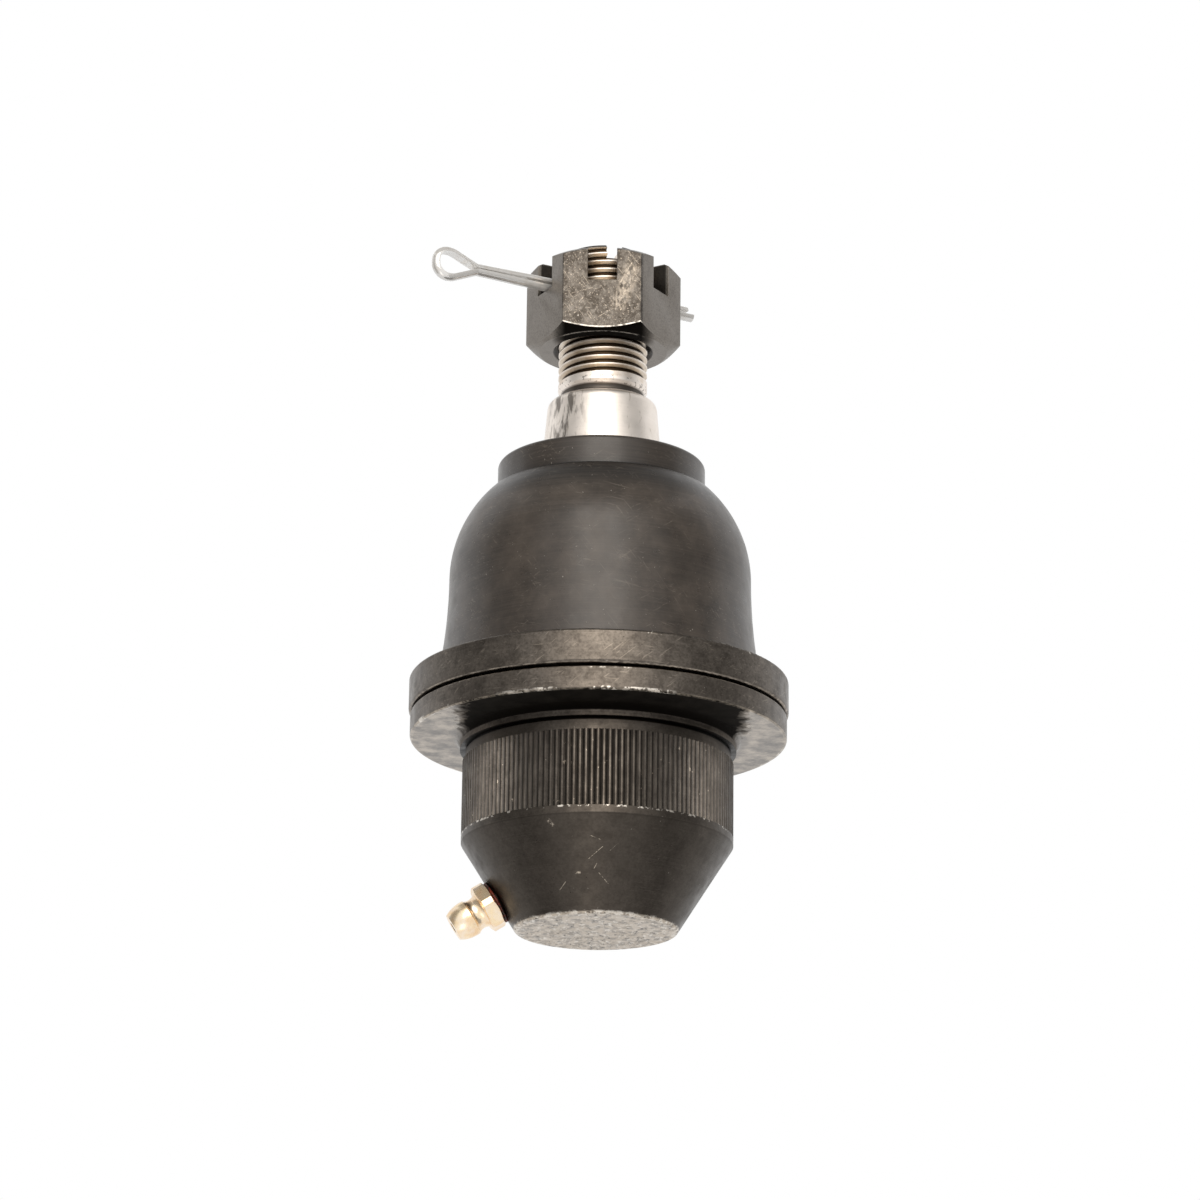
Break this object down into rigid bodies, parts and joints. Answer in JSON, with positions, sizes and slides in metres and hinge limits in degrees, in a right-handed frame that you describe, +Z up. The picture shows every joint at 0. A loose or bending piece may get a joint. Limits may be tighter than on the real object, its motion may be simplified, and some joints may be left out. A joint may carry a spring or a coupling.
{
  "type": "suspension ball joint",
  "caption": "Press-in ball joint with a serrated flanged housing, rubber boot, tapered threaded stud, castle nut, cotter pin and a grease fitting.",
  "frame": {"origin": "on the housing axis, in the plane of the flange's seating face", "axes": "+Z up the stud to its threaded end; the grease fitting leans out towards -X and down"},
  "size_m": [0.0664, 0.0664, 0.126],
  "materials": {
    "forged_steel": "satin, dark, scuffed",
    "plain_steel": "satin",
    "spring_steel": "satin",
    "sintered_bearing": "matt, oil soaked",
    "turned_steel": "bright turned",
    "nut_steel": "satin, scuffed",
    "zinc_wire": "bright zinc",
    "yellow_zinc": "satin",
    "black_rubber": "satin, dusty",
    "sealant": "matt"
  },
  "bodies": {
    "housing": {"housing": "forged_steel", "closing_ring": "plain_steel", "pressure_plate": "plain_steel", "preload_washer": "spring_steel", "boot_base_ring": "forged_steel", "grease_fitting": "yellow_zinc", "grease_spring_retainer": "plain_steel", "grease_check_spring": "spring_steel", "thread_sealant": "sealant"},
    "bearings": {"lower_bearing": "sintered_bearing", "upper_bearing": "sintered_bearing", "dust_boot": "black_rubber"},
    "boot_collar": {"boot_collar_insert": "plain_steel"},
    "stud": {"ball_stud": "turned_steel", "castle_nut": "nut_steel"},
    "cotter_pin": {"cotter_pin": "zinc_wire"},
    "check_ball": {"grease_check_ball": "spring_steel"}
  },
  "joints": [
    {"name": "azimuth", "type": "hinge", "parent": "housing", "child": "bearings", "pos_m": [0, 0, -0.006], "axis": [0, 0, 1], "continuous": true},
    {"name": "tilt", "type": "hinge", "parent": "bearings", "child": "boot_collar", "pos_m": [0, 0, -0.006], "axis": [0, 1, 0], "range_deg": [-22, 22], "deforming": ["dust_boot"]},
    {"name": "spin", "type": "hinge", "parent": "boot_collar", "child": "stud", "pos_m": [0, 0, -0.006], "axis": [0, 0, 1], "continuous": true},
    {"name": "pin_pull", "type": "slide", "parent": "stud", "child": "cotter_pin", "axis": [-0.8788, -0.4772, 0], "range_m": [0, 0.034]},
    {"name": "check_ball_lift", "type": "slide", "parent": "housing", "child": "check_ball", "axis": [0.8471, 0, 0.5315], "range_m": [0, 0.0008], "stiffness_N_per_m": 250, "springref_m": -0.0006, "deforming": ["grease_check_spring"]}
  ]
}
